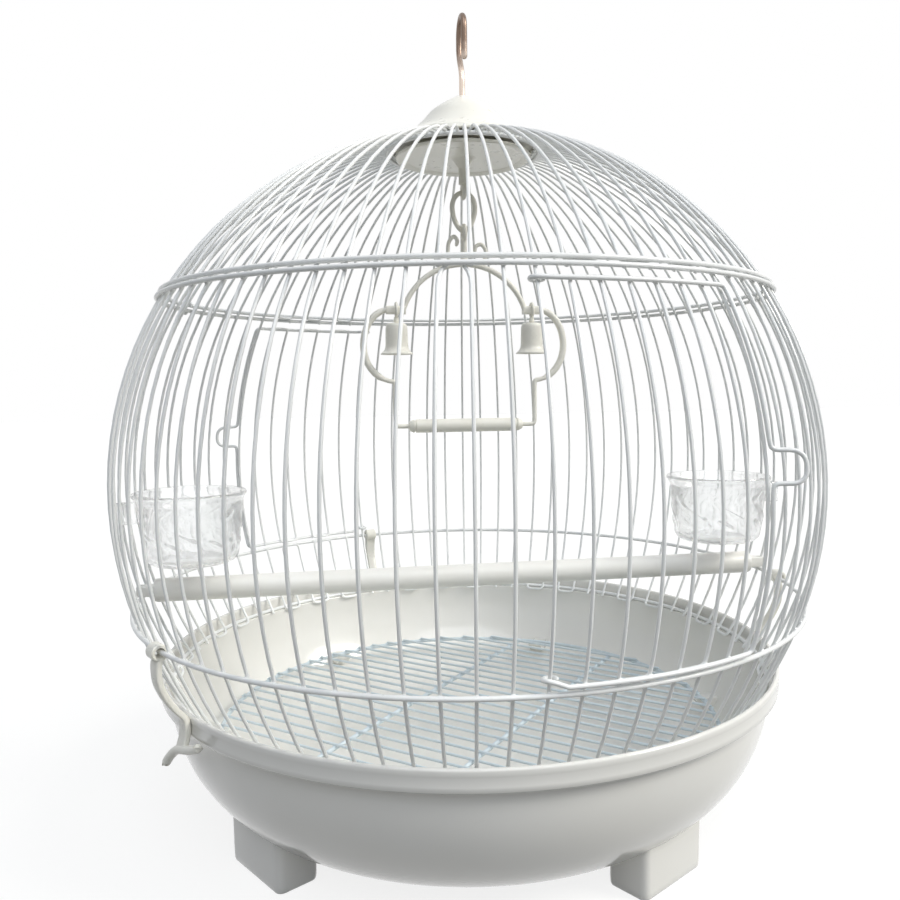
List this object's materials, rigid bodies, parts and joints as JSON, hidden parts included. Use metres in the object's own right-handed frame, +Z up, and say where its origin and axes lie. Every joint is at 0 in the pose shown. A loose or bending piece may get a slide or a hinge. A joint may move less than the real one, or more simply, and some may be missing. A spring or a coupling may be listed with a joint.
{
  "type": "round bird cage",
  "caption": "Ball-shaped wire bird cage on a footed bowl tray, with doors, lift-out grate, latches, perch, clip-on cups, swing with bells and a swivel hook.",
  "frame": {"origin": "on the floor, under the middle of the tray", "axes": "+Z up; +X along the perch towards the right-hand cup; -Y towards the front door's hinge bar"},
  "size_m": [0.3828, 0.3828, 0.4347],
  "materials": {
    "tray_plastic": "glossy off-white moulding",
    "cage_wire": "white powder-coated steel wire",
    "grate_wire": "white coated wire with a blue tint",
    "ivory_plastic": "ivory moulding, satin",
    "perch_plastic": "white moulding, smooth",
    "clear_plastic": "clear moulding with a raised leaf pattern",
    "hook_steel": "plated steel, partly dark"
  },
  "bodies": {
    "tray": {"tray": "tray_plastic"},
    "grate": {"grate_rim": "grate_wire", "grate_wires": "grate_wire", "grate_cross_wire_1": "grate_wire", "grate_cross_wire_2": "grate_wire"},
    "cage": {"bar_panel_1": "cage_wire", "bar_panel_2": "cage_wire", "bar_panel_3": "cage_wire", "bar_panel_4": "cage_wire", "bar_panel_5": "cage_wire", "bar_panel_6": "cage_wire", "bar_panel_7": "cage_wire", "bar_panel_8": "cage_wire", "bar_panel_9": "cage_wire", "bar_panel_10": "cage_wire", "bar_panel_11": "cage_wire", "bar_panel_12": "cage_wire", "bar_panel_13": "cage_wire", "door_stubs_front": "cage_wire", "door_stubs_rear": "cage_wire", "upper_ring_top": "cage_wire", "upper_ring_bottom": "cage_wire", "lower_ring": "cage_wire", "base_ring": "cage_wire", "crown_ring": "cage_wire", "ring_clip_left": "cage_wire", "ring_clip_right": "cage_wire", "perch": "perch_plastic", "cap": "ivory_plastic", "hanger": "ivory_plastic"},
    "front_door": {"front_door_frame": "cage_wire", "front_door_bars": "cage_wire"},
    "rear_door": {"rear_door_frame": "cage_wire", "rear_door_bars": "cage_wire"},
    "latch_1": {"latch_1": "ivory_plastic"},
    "latch_2": {"latch_2": "ivory_plastic"},
    "latch_3": {"latch_3": "ivory_plastic"},
    "cup_left": {"cup_left": "clear_plastic"},
    "cup_right": {"cup_right": "clear_plastic"},
    "hook": {"hook": "hook_steel", "hook_nut": "hook_steel"},
    "link": {"hanger_link": "ivory_plastic"},
    "swing": {"swing_frame": "ivory_plastic", "swing_perch": "ivory_plastic"},
    "bell_left": {"bell_left": "ivory_plastic"},
    "bell_right": {"bell_right": "ivory_plastic"}
  },
  "joints": [
    {"name": "cage_lift", "type": "slide", "parent": "tray", "child": "cage", "axis": [0, 0, 1], "range_m": [0, 0.12]},
    {"name": "grate_lift", "type": "slide", "parent": "tray", "child": "grate", "axis": [0, 0, 1], "range_m": [0, 0.06]},
    {"name": "front_door_hinge", "type": "hinge", "parent": "cage", "child": "front_door", "pos_m": [0, -0.18186, 0.127], "axis": [0, -0.1217, -0.9926], "range_deg": [0, 80]},
    {"name": "rear_door_hinge", "type": "hinge", "parent": "cage", "child": "rear_door", "pos_m": [-0.0536, 0.17378, 0.127], "axis": [-0.0359, 0.1163, -0.9926], "range_deg": [0, 80]},
    {"name": "latch_1_hinge", "type": "hinge", "parent": "cage", "child": "latch_1", "pos_m": [-0.15494, -0.09736, 0.121], "axis": [-0.532, 0.8467, 0], "range_deg": [0, 80]},
    {"name": "latch_2_hinge", "type": "hinge", "parent": "cage", "child": "latch_2", "pos_m": [0.18197, -0.0205, 0.121], "axis": [-0.112, -0.9937, 0], "range_deg": [0, 80]},
    {"name": "latch_3_hinge", "type": "hinge", "parent": "cage", "child": "latch_3", "pos_m": [-0.04745, 0.17707, 0.121], "axis": [0.9659, 0.2588, 0], "range_deg": [0, 80]},
    {"name": "cup_left_slide", "type": "slide", "parent": "cage", "child": "cup_left", "axis": [1, 0, 0], "range_m": [0, 0.06]},
    {"name": "cup_right_slide", "type": "slide", "parent": "cage", "child": "cup_right", "axis": [-1, 0, 0], "range_m": [0, 0.06]},
    {"name": "hook_swivel", "type": "hinge", "parent": "cage", "child": "hook", "pos_m": [0, 0, 0.3918], "axis": [0, 0, 1], "continuous": true},
    {"name": "link_hinge", "type": "hinge", "parent": "cage", "child": "link", "pos_m": [0, 0, 0.3384], "axis": [0, 1, 0], "range_deg": [-20, 20]},
    {"name": "swing_hinge", "type": "hinge", "parent": "link", "child": "swing", "pos_m": [0, 0, 0.3205], "axis": [1, 0, 0], "range_deg": [-30, 30]},
    {"name": "bell_left_hinge", "type": "hinge", "parent": "swing", "child": "bell_left", "pos_m": [-0.0385, 0, 0.2775], "axis": [1, 0, 0], "range_deg": [-25, 25]},
    {"name": "bell_right_hinge", "type": "hinge", "parent": "swing", "child": "bell_right", "pos_m": [0.0385, 0, 0.2775], "axis": [1, 0, 0], "range_deg": [-25, 25]}
  ]
}
